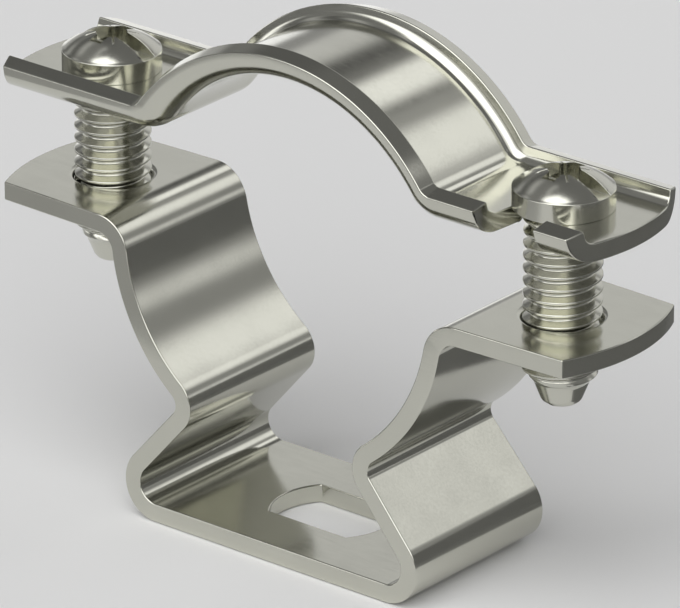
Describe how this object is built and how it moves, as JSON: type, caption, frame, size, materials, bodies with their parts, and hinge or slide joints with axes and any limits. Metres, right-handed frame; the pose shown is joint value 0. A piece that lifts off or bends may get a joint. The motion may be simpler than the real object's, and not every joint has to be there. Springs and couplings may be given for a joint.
{
  "type": "spacer clamp",
  "caption": "Spacer pipe clamp: a folded strip base with a slotted foot and two ears, and a pressed lipped saddle drawn down over the pipe by two screws.",
  "frame": {"origin": "middle of the foot's underside, on the face that lies on the wall", "axes": "+X along the ears from the left screw to the right screw, +Y along the pipe's axis, +Z away from the wall"},
  "size_m": [0.0576, 0.0156, 0.0412],
  "materials": {
    "strip_steel": "bright smooth rolled stainless sheet",
    "screw_steel": "polished stainless"
  },
  "bodies": {
    "base": {"base_saddle": "strip_steel"},
    "saddle": {"upper_saddle": "strip_steel"},
    "screw_left": {"left_screw": "screw_steel"},
    "screw_right": {"right_screw": "screw_steel"}
  },
  "joints": [
    {"name": "saddle_travel", "type": "slide", "parent": "base", "child": "saddle", "axis": [0, 0, 1], "range_m": [-0.007, 0.002]},
    {"name": "left_screw_turn", "type": "hinge", "parent": "saddle", "child": "screw_left", "pos_m": [-0.022, 0, 0.0327], "axis": [0, 0, 1], "range_deg": [-2521, 721]},
    {"name": "right_screw_turn", "type": "hinge", "parent": "saddle", "child": "screw_right", "pos_m": [0.022, 0, 0.0327], "axis": [0, 0, 1], "range_deg": [-2521, 721]}
  ],
  "couplings": [
    {"joint": "left_screw_turn", "follows": "saddle_travel", "rad_per_m": 6283.2},
    {"joint": "right_screw_turn", "follows": "saddle_travel", "rad_per_m": 6283.2}
  ]
}
